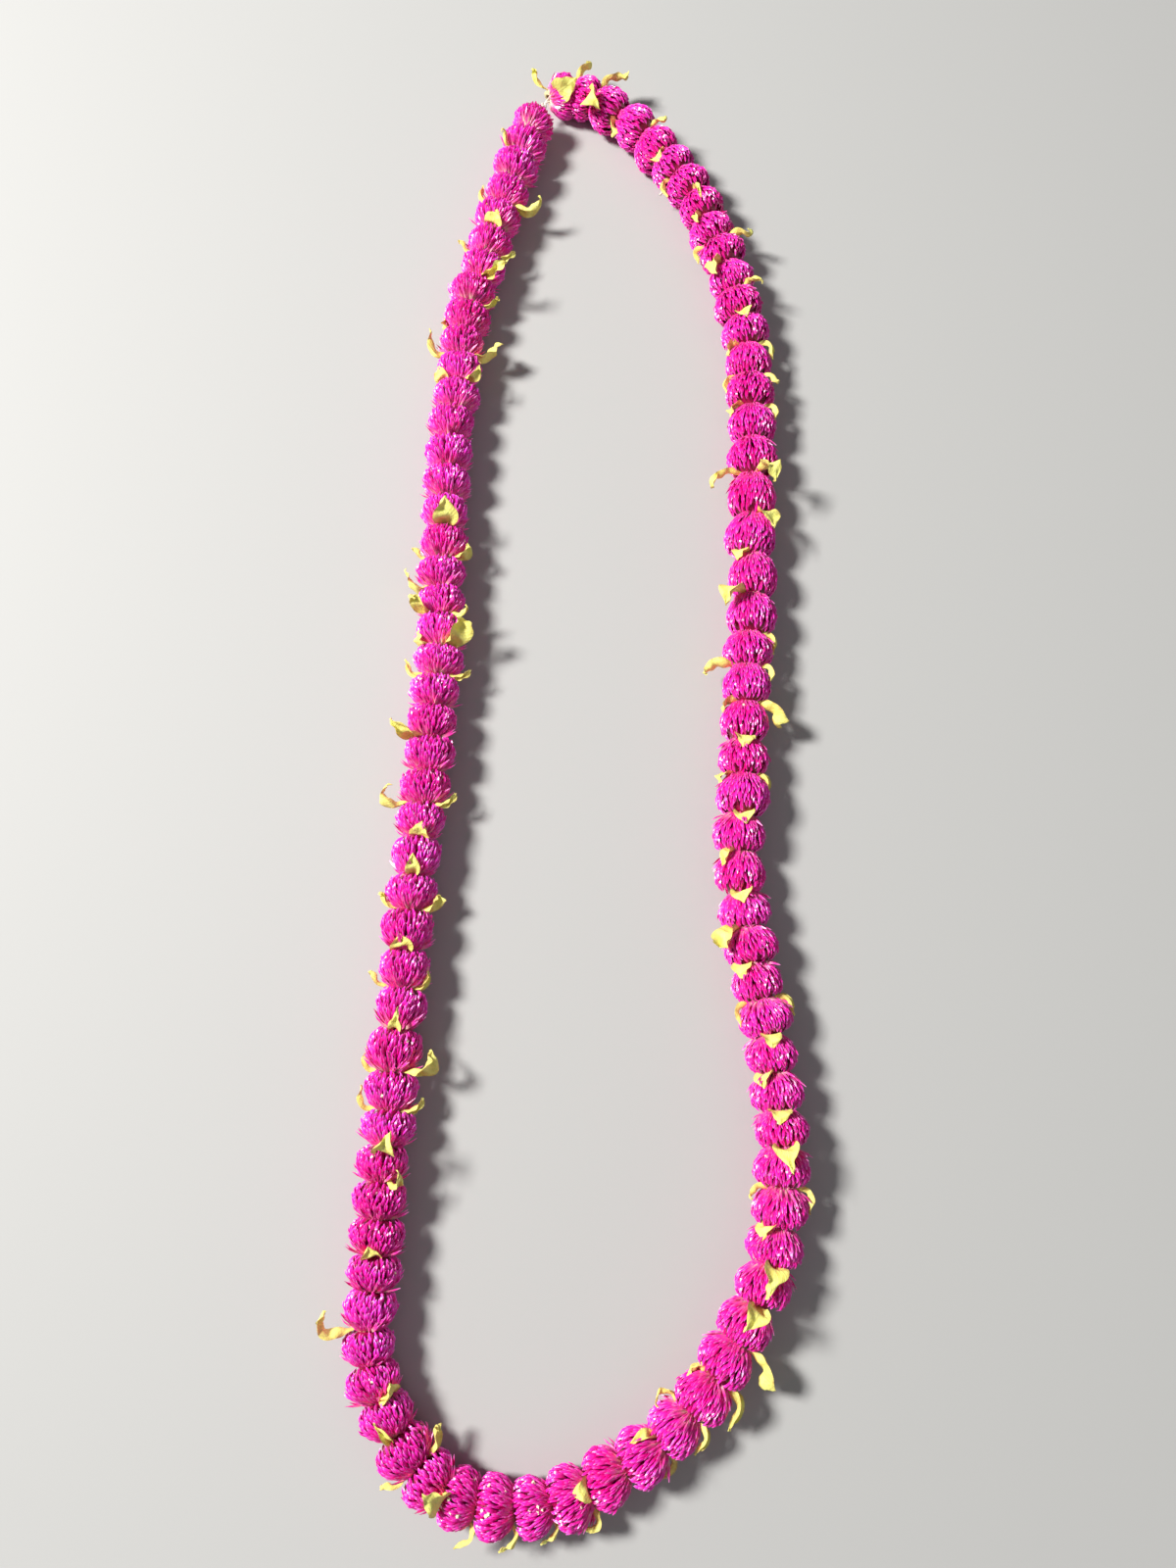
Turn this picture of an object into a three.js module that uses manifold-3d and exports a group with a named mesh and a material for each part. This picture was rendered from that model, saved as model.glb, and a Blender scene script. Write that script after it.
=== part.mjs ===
// A fresh flower lei: 93 globe amaranth heads strung head to tail on one cotton thread
// and laid down as a long closed loop. Millimetres, +Z up, the surface it lies on at z = 0.
// Every piece is worked out in strand space: a distance along the loop, a radius from the
// thread and an angle round it, where 0 degrees faces the inside of the loop and 90 is up.
import * as THREE from 'three';
import { mergeVertices } from 'three/addons/utils/BufferGeometryUtils.js';
import Module from 'manifold-3d';

const manifold = await Module();
manifold.setup();

// ---- The loop ----------------------------------------------------------------------------

// Where every fourth head lies, clockwise from the tied joint at the far end: [x, y] in mm.
const HEADS_PER_POINT = 4;
const ROUTE = [
  [-6.5, 273.5], [33.5, 245.5], [55.5, 204.5], [68, 157.5], [69.5, 101.5], [66.5, 35.5],
  [62, -20.5], [60.5, -77.5], [68.5, -127.5], [70.5, -177.5], [51.5, -225.5], [12, -261.5],
  [-35.5, -268.5], [-65.5, -233.5], [-66, -188.5], [-63.5, -141.5], [-59.5, -85.5],
  [-54.5, -33.5], [-51.5, 15.5], [-51, 62.5], [-48.5, 114.5], [-44.5, 161.5], [-32.5, 208.5],
  [-18.5, 255.5],
];
const AXIS_HEIGHT = 8.9;
const HEADS = 93;
const HEADS_PER_GROUP = 4;
const GROUPS = Math.floor(HEADS / HEADS_PER_GROUP);
// How far the two heads beside the joint reach past their middles.
const HALF_HEAD = 6.4;
const ROUTE_STEPS = 100;

// ---- The pieces --------------------------------------------------------------------------

const GAP = 0.3;

// A head from its base (0) to the next base (1): where each tier of bracts is rooted and
// where its points end, as a share of the head's length and a radius.
const BRACTS_ROUND = 7;
const STEP = (2 * Math.PI) / BRACTS_ROUND;
const TIERS = [
  { rootAt: 0.0, rootRadius: 5.4, pointAt: 0.48, pointRadius: 8.4 },
  { rootAt: 0.3, rootRadius: 6.8, pointAt: 0.8, pointRadius: 9.3 },
  { rootAt: 0.62, rootRadius: 7.2, pointAt: 0.97, pointRadius: 7.9 },
];
const NECK_RADIUS = TIERS[0].rootRadius;
const HOLLOW_RADIUS = 3.5;
// How far the heads differ: shares of their size and lean, and mm off the thread.
const BASE_SWING = 0.5;
const HEAD_SWING = { size: 0.05, inward: 0.6, upward: 0.4, tilt: 0.08 };
const POINT_AT_SWING = 0.03;
const POINT_RADIUS_SWING = 0.04;
// A bract whose point comes this near to the surface is laid on it, so no sliver is cut.
const TOUCHING = 0.3;

const THREAD_HALF = 0.4;
const BORE_HALF = 0.75;
const CORE_HALF = 1.7;
const KNOT_RADIUS = 1.3;

// The leafy bracts of each head, in the same order as the heads. A letter says where one
// grows: i inside, j inside and up, t on top, p outside and up, o outside, . for none.
// A capital is a large one, which stands out from the strand.
const LEAVES = `
  Tp O JO i p j i t j iO J p t io io io . IP P j J o Io Oi t io t j t J j io t j t T io j T T
  O Oi io jo . oj o o o T Io t j . O . t . j T oi oI t oi t oi t t Oi . P . oi Jo Pi O oj T
  . . . . jo OI o i J oi t oI . p .`.trim().split(/\s+/);
const LEAF_DEGREES = { i: 8, j: 48, t: 88, p: 130, o: 170 };
const LEAF_DEGREES_SWING = 7;
const LEAF_SIZE_SWING = 0.1;
const LEAF_ROOT_AT = 1.1;
const LEAF_THICK = 0.7;
// A leaf's way out through its head: [radius, half its width].
const LEAF_NECK = [[2.8, 0.8], [6.2, 1.9]];
const LEAF_BEND_AT = 3.6;
// How far past the first tier's points a leaf bends forward.
const LEAF_CLEARANCE = 1.6;
const LEAF_SMALL = { length: 7.5, half: 3.2, lift: 14 };
const LEAF_LARGE = { length: 9.5, half: 4.6, lift: 27 };
const LEAF_TIP_GAP = 1.5;

const MATERIALS = {
  flower: new THREE.MeshStandardMaterial({ color: 0xe0409b, roughness: 0.7, metalness: 0 }),
  leaf: new THREE.MeshStandardMaterial({ color: 0xd6cb7d, roughness: 0.65, metalness: 0 }),
  thread: new THREE.MeshStandardMaterial({ color: 0xf0ece2, roughness: 0.9, metalness: 0 }),
};

// ---- Strand space ------------------------------------------------------------------------

// One salt for each thing that is drawn. A head's second leaf takes the salt after.
const DRAW = {
  base: 1, size: 2, inward: 3, upward: 4, tiltIn: 5, tiltUp: 6, pointAt: 7, pointRadius: 9,
  leafAngle: 10, leafLength: 12, leafHalf: 14,
};

// A number from -1 to 1 that is always the same for the same pair of numbers.
function swing(index, salt) {
  const value = Math.sin(index * 12.9898 + salt * 78.233) * 43758.5453;
  return 2 * (value - Math.floor(value)) - 1;
}

function vary(index, salt, share) {
  return 1 + share * swing(index, salt);
}

const curve = new THREE.CatmullRomCurve3(
  ROUTE.map(([x, y]) => new THREE.Vector3(x, y, AXIS_HEIGHT)), true, 'centripetal');
curve.arcLengthDivisions = ROUTE.length * ROUTE_STEPS;
const lengths = curve.getLengths();
const loopLength = curve.getLength();

// Each head's middle, and the bases between them, as distances along the loop.
const middles = [];
for (let head = 0; head < HEADS; head += 1) {
  middles.push(lengths[Math.round((head / HEADS_PER_POINT) * ROUTE_STEPS)]);
}
const bases = [middles[0] - HALF_HEAD];
for (let head = 1; head < HEADS; head += 1) {
  bases.push((middles[head - 1] + middles[head]) / 2 + BASE_SWING * swing(head, DRAW.base));
}
bases.push(middles[HEADS - 1] + HALF_HEAD);

// The point at a distance along the loop, off the thread by inward and upward.
function strandPoint(along, inward, upward) {
  const share = (((along / loopLength) % 1) + 1) % 1;
  const point = curve.getPointAt(share);
  const tangent = curve.getTangentAt(share);
  return new THREE.Vector3(
    point.x + tangent.y * inward, point.y - tangent.x * inward, AXIS_HEIGHT + upward);
}

function strandRing(along, radius, count, turn) {
  const ring = [];
  for (let side = 0; side < count; side += 1) {
    const angle = ((side + turn) * 2 * Math.PI) / count;
    ring.push(strandPoint(along, radius * Math.cos(angle), radius * Math.sin(angle)));
  }
  return ring;
}

// The four corners of a square bar's section: side 0 faces the inside of the loop.
function strandSquare(along, half) {
  return strandRing(along, half * Math.SQRT2, 4, -0.5);
}

// Each head's own size, and how far it sits off the thread and leans.
function headShape(head) {
  return {
    size: vary(head, DRAW.size, HEAD_SWING.size),
    inward: HEAD_SWING.inward * swing(head, DRAW.inward),
    upward: HEAD_SWING.upward * swing(head, DRAW.upward),
    tiltIn: HEAD_SWING.tilt * swing(head, DRAW.tiltIn),
    tiltUp: HEAD_SWING.tilt * swing(head, DRAW.tiltUp),
    length: bases[head + 1] - bases[head],
  };
}

// ---- Skins and solids --------------------------------------------------------------------

// A skin gathers points and triangles. Its triangles are written for a right-handed strand
// space. Along, inward and upward make a left-handed one, so solid() turns them round.
class Skin {
  points = [];

  triangles = [];

  add(points) {
    return points.map((point) => this.points.push(point) - 1);
  }

  quad(a, b, c, d) {
    this.triangles.push([a, b, c], [a, c, d]);
  }

  // One side of the wall from one ring to the next, seen from outside.
  wall(ring, next, side) {
    const after = (side + 1) % ring.length;
    this.quad(ring[side], ring[after], next[after], next[side]);
  }

  // One side of a hollow's wall, where the next ring's points are numbered shift behind.
  hollow(ring, next, side, shift = 0) {
    const count = ring.length;
    const after = (side + 1) % count;
    const across = (index) => next[(index - shift + 2 * count) % count];
    this.quad(ring[after], ring[side], across(side), across(after));
  }

  // One side of the flat face between an outer ring and the hollow's ring.
  startFace(outer, inner, side) {
    const after = (side + 1) % outer.length;
    this.quad(outer[side], inner[side], inner[after], outer[after]);
  }

  endFace(outer, inner, side) {
    const after = (side + 1) % outer.length;
    this.quad(outer[side], outer[after], inner[after], inner[side]);
  }

  solid() {
    const geometry = new THREE.BufferGeometry().setFromPoints(this.points);
    geometry.setIndex(this.triangles.flatMap(([a, b, c]) => [a, c, b]));
    return solidOf(geometry);
  }
}

function solidOf(geometry) {
  geometry.deleteAttribute('normal');
  geometry.deleteAttribute('uv');
  const merged = mergeVertices(geometry);
  return new manifold.Manifold(new manifold.Mesh({
    numProp: 3,
    vertProperties: merged.attributes.position.array,
    triVerts: merged.index.array,
  }));
}

function solidMesh(name, body, material) {
  const { vertProperties, triVerts } = body.getMesh();
  const geometry = new THREE.BufferGeometry();
  geometry.setAttribute('position', new THREE.BufferAttribute(vertProperties, 3));
  geometry.setIndex(new THREE.BufferAttribute(triVerts, 1));
  geometry.computeVertexNormals();
  const mesh = new THREE.Mesh(geometry, material);
  mesh.name = name;
  return mesh;
}

const sides = (count) => [...Array(count).keys()];

// ---- Where the leaves and bracts sit round each head -------------------------------------

// The share of the first tier's length at which a leaf's root passes through it.
function rootShare(head) {
  return LEAF_ROOT_AT / (TIERS[1].rootAt * headShape(head).length);
}

// Each ring is turned half a step from the one before, so the middle of a space between two
// rings is three quarters of a step past its first corner.
const MIDDLE_OF_SPACE = 0.75;

// Each head's neck is turned so that one of its first tier's spaces faces its first leaf.
const necks = [];
const leafPlaces = [];
for (let head = 0; head <= HEADS; head += 1) {
  const letters = head === HEADS || LEAVES[head] === '.' ? [] : [...LEAVES[head]];
  const wanted = letters.map((letter, order) => {
    const degrees = LEAF_DEGREES[letter.toLowerCase()]
      + LEAF_DEGREES_SWING * swing(head, DRAW.leafAngle + order);
    return THREE.MathUtils.degToRad(degrees) / STEP;
  });
  const natural = head === 0 ? 0 : necks[head - 1] + 1.5;
  if (letters.length === 0) {
    necks.push(natural);
    leafPlaces.push([]);
    continue;
  }
  const spaceMiddle = 0.5 + 0.5 * rootShare(head);
  const off = wanted[0] - spaceMiddle - natural;
  const neck = natural + off - Math.round(off);
  necks.push(neck);
  const usedSides = [];
  leafPlaces.push(letters.map((letter, order) => {
    const space = Math.round(wanted[order] - spaceMiddle - neck);
    const angle = (space + spaceMiddle + neck) * STEP;
    const nearest = [0, 1, 2, 3].filter((side) => !usedSides.includes(side)).sort(
      (a, b) => Math.cos(angle - (b * Math.PI) / 2) - Math.cos(angle - (a * Math.PI) / 2));
    usedSides.push(nearest[0]);
    const large = letter === letter.toUpperCase();
    return {
      angle,
      order,
      side: nearest[0],
      space: ((space % BRACTS_ROUND) + BRACTS_ROUND) % BRACTS_ROUND,
      kind: large ? LEAF_LARGE : LEAF_SMALL,
    };
  }));
}

// ---- Flower heads ------------------------------------------------------------------------

// A bract point or root at a turn round the head, moved and tilted with its head.
function onHead(head, shape, share, radius, turn) {
  const inward = radius * shape.size * Math.cos(turn * STEP);
  const upward = radius * shape.size * Math.sin(turn * STEP);
  const along = bases[head] + share * shape.length
    + shape.tiltIn * inward + shape.tiltUp * upward;
  return strandPoint(along, inward + shape.inward, upward + shape.upward);
}

// The four faces of a pointed bract, raised over the space between two rings.
function raiseBract(skin, ring, next, bract, point) {
  const after = (bract + 1) % BRACTS_ROUND;
  const [apex] = skin.add([point]);
  const corners = [ring[bract], ring[after], next[after], next[bract]];
  for (const side of sides(4)) {
    skin.triangles.push([corners[side], corners[(side + 1) % 4], apex]);
  }
}

// The opening that a leaf comes out through: it takes the place of one first-tier bract. A
// group's first opening is open to the end face too, and two side by side are one.
function openSpace(skin, rings, space, open, isFirst) {
  const { neck, neckHollow, second, secondHollow } = rings;
  const after = (space + 1) % BRACTS_ROUND;
  const before = (space + BRACTS_ROUND - 1) % BRACTS_ROUND;
  if (!open.includes(before)) {
    skin.quad(neck[space], neckHollow[space], secondHollow[space], second[space]);
  }
  if (!open.includes(after)) {
    skin.quad(neck[after], second[after], secondHollow[after], neckHollow[after]);
  }
  skin.startFace(second, secondHollow, space);
  if (!isFirst) {
    skin.endFace(neck, neckHollow, space);
  }
}

// The outer ring and the hollow's ring at a head's base.
function addNeck(skin, head, shift) {
  const ring = (radius) => skin.add(
    strandRing(bases[head] + shift, radius, BRACTS_ROUND, necks[head]));
  return { neck: ring(NECK_RADIUS), neckHollow: ring(HOLLOW_RADIUS) };
}

// A head's three tiers of bracts between its own neck and the next head's. It returns the
// ring that the second tier is rooted in.
function addTiers(skin, head, neck, nextNeck, open) {
  const shape = headShape(head);
  const rings = [neck];
  for (const tier of [1, 2]) {
    const { rootAt, rootRadius } = TIERS[tier];
    rings.push(skin.add(sides(BRACTS_ROUND).map((side) => onHead(
      head, shape, rootAt, rootRadius, side + necks[head] + tier / 2))));
  }
  rings.push(nextNeck);
  for (const [tier, { pointAt, pointRadius }] of TIERS.entries()) {
    for (const bract of sides(BRACTS_ROUND).filter((space) => tier > 0 || !open.includes(space))) {
      const draw = (head * TIERS.length + tier) * BRACTS_ROUND + bract;
      const point = onHead(
        head, shape, pointAt * vary(draw, DRAW.pointAt, POINT_AT_SWING),
        pointRadius * vary(draw, DRAW.pointRadius, POINT_RADIUS_SWING),
        bract + necks[head] + tier / 2 + MIDDLE_OF_SPACE);
      if (Math.abs(point.z) < TOUCHING) {
        point.z = 0;
      }
      raiseBract(skin, rings[tier], rings[tier + 1], bract, point);
    }
  }
  return rings[1];
}

// The hollow through a head. One with leaves has a ring of its own below the second tier,
// where the openings end.
function addHollow(skin, head, here, second, nextHollow, open, isFirst) {
  let ring = here.neckHollow;
  let turn = necks[head];
  if (open.length > 0) {
    turn += 0.5;
    const secondHollow = skin.add(strandRing(
      bases[head] + TIERS[1].rootAt * headShape(head).length, HOLLOW_RADIUS, BRACTS_ROUND, turn));
    for (const space of open) {
      openSpace(skin, { ...here, second, secondHollow }, space, open, isFirst);
    }
    for (const side of sides(BRACTS_ROUND).filter((space) => !open.includes(space))) {
      skin.hollow(ring, secondHollow, side);
    }
    ring = secondHollow;
  }
  const shift = Math.round(necks[head + 1] - turn);
  for (const side of sides(BRACTS_ROUND)) {
    skin.hollow(ring, nextHollow, side, shift);
  }
}

// One closed skin over several heads: rings of bract roots, each turned half a step from
// the one before, with a pointed bract over every space, and a hollow for the cores.
function headSkin(first, last) {
  const skin = new Skin();
  const openSpaces = (head) => leafPlaces[head].map(({ space }) => space);
  let here = addNeck(skin, first, GAP);
  for (const side of sides(BRACTS_ROUND).filter((space) => !openSpaces(first).includes(space))) {
    skin.startFace(here.neck, here.neckHollow, side);
  }
  for (let head = first; head < last; head += 1) {
    const open = openSpaces(head);
    const following = addNeck(skin, head + 1, head + 1 === last ? -GAP : 0);
    const second = addTiers(skin, head, here.neck, following.neck, open);
    addHollow(skin, head, here, second, following.neckHollow, open, head === first);
    here = following;
  }
  for (const side of sides(BRACTS_ROUND)) {
    skin.endFace(here.neck, here.neckHollow, side);
  }
  return skin.solid();
}

// ---- Leafy bracts ------------------------------------------------------------------------

// A blade grown out of one side of the core, from its four corners, through stations of
// [along, radius, half width]. It is square to its own path, and the last one is its point.
function growBlade(skin, corners, head, angle, stations) {
  const cos = Math.cos(angle);
  const sin = Math.sin(angle);
  const at = (along, radius, across) => strandPoint(
    bases[head] + along, radius * cos - across * sin, radius * sin + across * cos);
  let last = corners;
  const [tipAlong, tipRadius] = stations[stations.length - 1];
  for (const [index, [along, radius, half]] of stations.slice(0, -1).entries()) {
    const before = stations[Math.max(index - 1, 0)];
    const after = stations[index + 1];
    const run = Math.hypot(after[0] - before[0], after[1] - before[1]);
    const offAlong = ((before[1] - after[1]) / run) * (LEAF_THICK / 2);
    const offRadius = ((after[0] - before[0]) / run) * (LEAF_THICK / 2);
    const next = skin.add([
      at(along + offAlong, radius + offRadius, -half), at(along + offAlong, radius + offRadius, half),
      at(along - offAlong, radius - offRadius, half), at(along - offAlong, radius - offRadius, -half),
    ]);
    skin.quad(last[0], last[1], next[1], next[0]);
    skin.quad(last[1], last[2], next[2], next[1]);
    skin.quad(last[3], next[3], next[2], last[2]);
    skin.quad(last[3], last[0], next[0], next[3]);
    last = next;
  }
  const [upper, under] = skin.add([
    at(tipAlong, tipRadius + LEAF_THICK / 2, 0), at(tipAlong, tipRadius - LEAF_THICK / 2, 0)]);
  skin.triangles.push([last[0], last[1], upper], [last[2], last[3], under]);
  skin.quad(last[1], last[2], under, upper);
  skin.quad(last[3], last[0], upper, under);
}

function leafStations(head, { angle, kind, order }) {
  const shape = headShape(head);
  const push = shape.inward * Math.cos(angle) + shape.upward * Math.sin(angle);
  const bendRadius = TIERS[0].pointRadius * shape.size + push + LEAF_CLEARANCE;
  const length = kind.length * vary(head, DRAW.leafLength + order, LEAF_SIZE_SWING);
  const half = kind.half * vary(head, DRAW.leafHalf + order, LEAF_SIZE_SWING);
  // A leaf lies along its head, and stands up as far as it must to end short of the next.
  const room = shape.length - LEAF_BEND_AT - LEAF_TIP_GAP;
  const lift = Math.max(
    THREE.MathUtils.degToRad(kind.lift), Math.acos(Math.min(room / length, 1)));
  return [
    ...LEAF_NECK.map(([radius, neckHalf]) => [LEAF_ROOT_AT, radius, neckHalf]),
    [LEAF_BEND_AT, bendRadius, half],
    [LEAF_BEND_AT + length * Math.cos(lift), bendRadius + length * Math.sin(lift)],
  ];
}

// The flower stalks' tops that the thread runs through, end to end inside the heads, with
// the leaves that grow from them.
function leafSkin(first, last) {
  const skin = new Skin();
  const addSquare = (along, half) => skin.add(strandSquare(along, half));
  const start = addSquare(bases[first] + GAP, CORE_HALF);
  const startBore = addSquare(bases[first] + GAP, BORE_HALF);
  let core = start;
  let bore = startBore;
  for (let head = first; head < last; head += 1) {
    const rootAt = bases[head] + LEAF_ROOT_AT;
    const places = leafPlaces[head];
    const back = addSquare(rootAt - (places.length > 0 ? LEAF_THICK / 2 : 0), CORE_HALF);
    for (const side of sides(4)) {
      skin.wall(core, back, side);
    }
    core = back;
    if (places.length > 0) {
      const front = addSquare(rootAt + LEAF_THICK / 2, CORE_HALF);
      const leafless = sides(4).filter((side) => places.every((place) => place.side !== side));
      for (const side of leafless) {
        skin.wall(back, front, side);
      }
      for (const place of places) {
        const after = (place.side + 1) % 4;
        const corners = [back[place.side], back[after], front[after], front[place.side]];
        growBlade(skin, corners, head, place.angle, leafStations(head, place));
      }
      core = front;
    }
    const nextBore = addSquare(rootAt, BORE_HALF);
    for (const side of sides(4)) {
      skin.hollow(bore, nextBore, side);
    }
    bore = nextBore;
  }
  const end = addSquare(bases[last] - GAP, CORE_HALF);
  const endBore = addSquare(bases[last] - GAP, BORE_HALF);
  for (const side of sides(4)) {
    skin.wall(core, end, side);
    skin.hollow(bore, endBore, side);
    skin.startFace(start, startBore, side);
    skin.endFace(end, endBore, side);
  }
  return skin.solid();
}

// ---- Thread ------------------------------------------------------------------------------

// A closed ring through every head, with its knot in the bare gap of the joint.
function threadSolid() {
  const skin = new Skin();
  const joint = (bases[HEADS] + bases[0] + loopLength) / 2;
  const stations = [...bases.slice(0, HEADS).map((base) => base + LEAF_ROOT_AT), bases[HEADS], joint];
  const rings = stations.map((along) => skin.add(strandSquare(along, THREAD_HALF)));
  for (const [index, ring] of rings.entries()) {
    for (const side of sides(4)) {
      skin.wall(ring, rings[(index + 1) % rings.length], side);
    }
  }
  const knot = new THREE.IcosahedronGeometry(KNOT_RADIUS, 0);
  knot.translate(...strandPoint(joint, 0, 0));
  return skin.solid().add(solidOf(knot));
}

// ---- The lei -----------------------------------------------------------------------------

const lei = new THREE.Group();
const below = new THREE.BoxGeometry(800, 800, 40).translate(0, 0, -20);
const surface = solidOf(below);
for (let group = 0; group < GROUPS; group += 1) {
  const first = group * HEADS_PER_GROUP;
  const last = group === GROUPS - 1 ? HEADS : first + HEADS_PER_GROUP;
  const number = String(group + 1).padStart(2, '0');
  // The lowest bracts are pressed flat where they lie on the surface.
  const heads = headSkin(first, last).subtract(surface);
  lei.add(solidMesh(`flower_heads_${number}`, heads, MATERIALS.flower));
  lei.add(solidMesh(`leafy_bracts_${number}`, leafSkin(first, last), MATERIALS.leaf));
}
lei.add(solidMesh('cotton_thread', threadSolid(), MATERIALS.thread));

export default lei;
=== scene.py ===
"""A fresh flower lei: globe amaranth heads on one cotton thread, laid down as a long loop."""
import math

import bmesh
import bpy
import numpy as np
from mathutils import Matrix, Vector


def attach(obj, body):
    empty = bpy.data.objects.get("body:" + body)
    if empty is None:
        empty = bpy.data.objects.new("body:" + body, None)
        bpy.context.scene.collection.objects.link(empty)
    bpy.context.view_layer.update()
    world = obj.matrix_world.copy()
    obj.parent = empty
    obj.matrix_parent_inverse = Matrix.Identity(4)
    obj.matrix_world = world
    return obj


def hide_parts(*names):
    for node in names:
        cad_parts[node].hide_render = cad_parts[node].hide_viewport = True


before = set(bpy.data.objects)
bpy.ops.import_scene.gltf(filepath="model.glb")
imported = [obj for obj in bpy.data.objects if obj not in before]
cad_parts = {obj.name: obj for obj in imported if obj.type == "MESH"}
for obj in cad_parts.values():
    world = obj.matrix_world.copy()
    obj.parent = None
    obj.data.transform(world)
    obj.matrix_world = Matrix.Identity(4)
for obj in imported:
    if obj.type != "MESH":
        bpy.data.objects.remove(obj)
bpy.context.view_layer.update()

# ---- Cotton thread -----------------------------------------------------------------------
# One length of undyed cotton, three plies twisted together, under a millimetre thick. It is
# drawn through the middle of every flower with a needle, and tied to itself where the loop
# closes, with the ends cut short.

MM = 0.001
# Where every fourth flower lies, clockwise from the knot: (x, y) in mm.
HEADS_PER_POINT = 4
ROUTE = [
    (-6.5, 273.5), (33.5, 245.5), (55.5, 204.5), (68, 157.5), (69.5, 101.5), (66.5, 35.5),
    (62, -20.5), (60.5, -77.5), (68.5, -127.5), (70.5, -177.5), (51.5, -225.5), (12, -261.5),
    (-35.5, -268.5), (-65.5, -233.5), (-66, -188.5), (-63.5, -141.5), (-59.5, -85.5),
    (-54.5, -33.5), (-51.5, 15.5), (-51, 62.5), (-48.5, 114.5), (-44.5, 161.5),
    (-32.5, 208.5), (-18.5, 255.5),
]
# In how many steps the route is measured from point to point, and the thread's height in mm.
ROUTE_STEPS = 100
THREAD_HEIGHT = 8.9
HEADS = 93
# Half the length of each head beside the knot, and how far any other head's base may be from
# halfway between its own middle and the middle of the head before.
HALF_HEAD = 6.4
BASE_SWING = 0.5
# Each thing that varies from head to head is drawn with a number of its own.
DRAW_BASE = 1


def swing(head, drawn):
    """A number from -1 to 1, always the same for the same head and the same thing drawn."""
    value = math.sin(head * 12.9898 + drawn * 78.233) * 43758.5453
    return 2 * (value - math.floor(value)) - 1


def route_at(turn):
    """Where the thread runs, and which way, at a number of route points on from the knot.
    The curve passes through the points, and is tighter where they lie closer together."""
    turn = float(turn)
    point = math.floor(turn)
    w = turn - point
    p0, p1, p2, p3 = (Vector(ROUTE[(point + k) % len(ROUTE)]) for k in (-1, 0, 1, 2))
    a, b, c = (math.sqrt((q - p).length) for p, q in ((p0, p1), (p1, p2), (p2, p3)))
    leave = b * ((p1 - p0) / a - (p2 - p0) / (a + b) + (p2 - p1) / b)
    arrive = b * ((p2 - p1) / b - (p3 - p1) / (b + c) + (p3 - p2) / c)
    square = 3 * (p2 - p1) - 2 * leave - arrive
    cube = 2 * (p1 - p2) + leave + arrive
    spot = p1 + w * leave + w * w * square + w**3 * cube
    return spot, (leave + 2 * w * square + 3 * w * w * cube).normalized()


turns = np.arange(len(ROUTE) * ROUTE_STEPS + 1) / ROUTE_STEPS
route = np.array([route_at(turn)[0] for turn in turns])
lengths = np.concatenate([[0], np.cumsum(np.linalg.norm(np.diff(route, axis=0), axis=1))])
loop_length = lengths[-1]
middles = [lengths[head * ROUTE_STEPS // HEADS_PER_POINT] for head in range(HEADS)]
bases = [middles[0] - HALF_HEAD]
for head in range(1, HEADS):
    bases.append((middles[head - 1] + middles[head]) / 2 + BASE_SWING * swing(head, DRAW_BASE))
bases.append(middles[-1] + HALF_HEAD)


def on_thread(along, inward=0.0, upward=0.0):
    """A place in the strand: X runs along the thread, Y away from the loop's inside, Z up."""
    spot, (run_x, run_y) = route_at(np.interp(along % loop_length, lengths, turns))
    return Matrix((
        (run_x, -run_y, 0, (spot.x + run_y * inward) * MM),
        (run_y, run_x, 0, (spot.y - run_x * inward) * MM),
        (0, 0, 1, (THREAD_HEIGHT + upward) * MM),
        (0, 0, 0, 1),
    ))


def draw_yarn(name, points, radius, sides=1, closed=False):
    """A round yarn through points in metres, as a closed mesh."""
    bpy.ops.object.select_all(action="DESELECT")
    line = bpy.data.curves.new(name, "CURVE")
    line.dimensions = "3D"
    line.bevel_depth = radius * MM
    line.bevel_resolution = sides
    line.use_fill_caps = True
    spline = line.splines.new("POLY")
    spline.points.add(len(points) - 1)
    for point, spot in zip(spline.points, points):
        point.co = (*spot, 1)
    spline.use_cyclic_u = closed
    yarn = bpy.data.objects.new(name, line)
    bpy.context.scene.collection.objects.link(yarn)
    yarn.select_set(True)
    bpy.context.view_layer.objects.active = yarn
    bpy.ops.object.convert(target="MESH")
    return bpy.context.object


def join_pieces(name, parts):
    """Joins parts into one piece, with its place in its mesh."""
    bpy.ops.object.select_all(action="DESELECT")
    for part in parts:
        part.select_set(True)
    bpy.context.view_layer.objects.active = parts[0]
    bpy.ops.object.join()
    bpy.ops.object.transform_apply(location=True, rotation=True, scale=True)
    parts[0].name = parts[0].data.name = name
    return parts[0]


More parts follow.
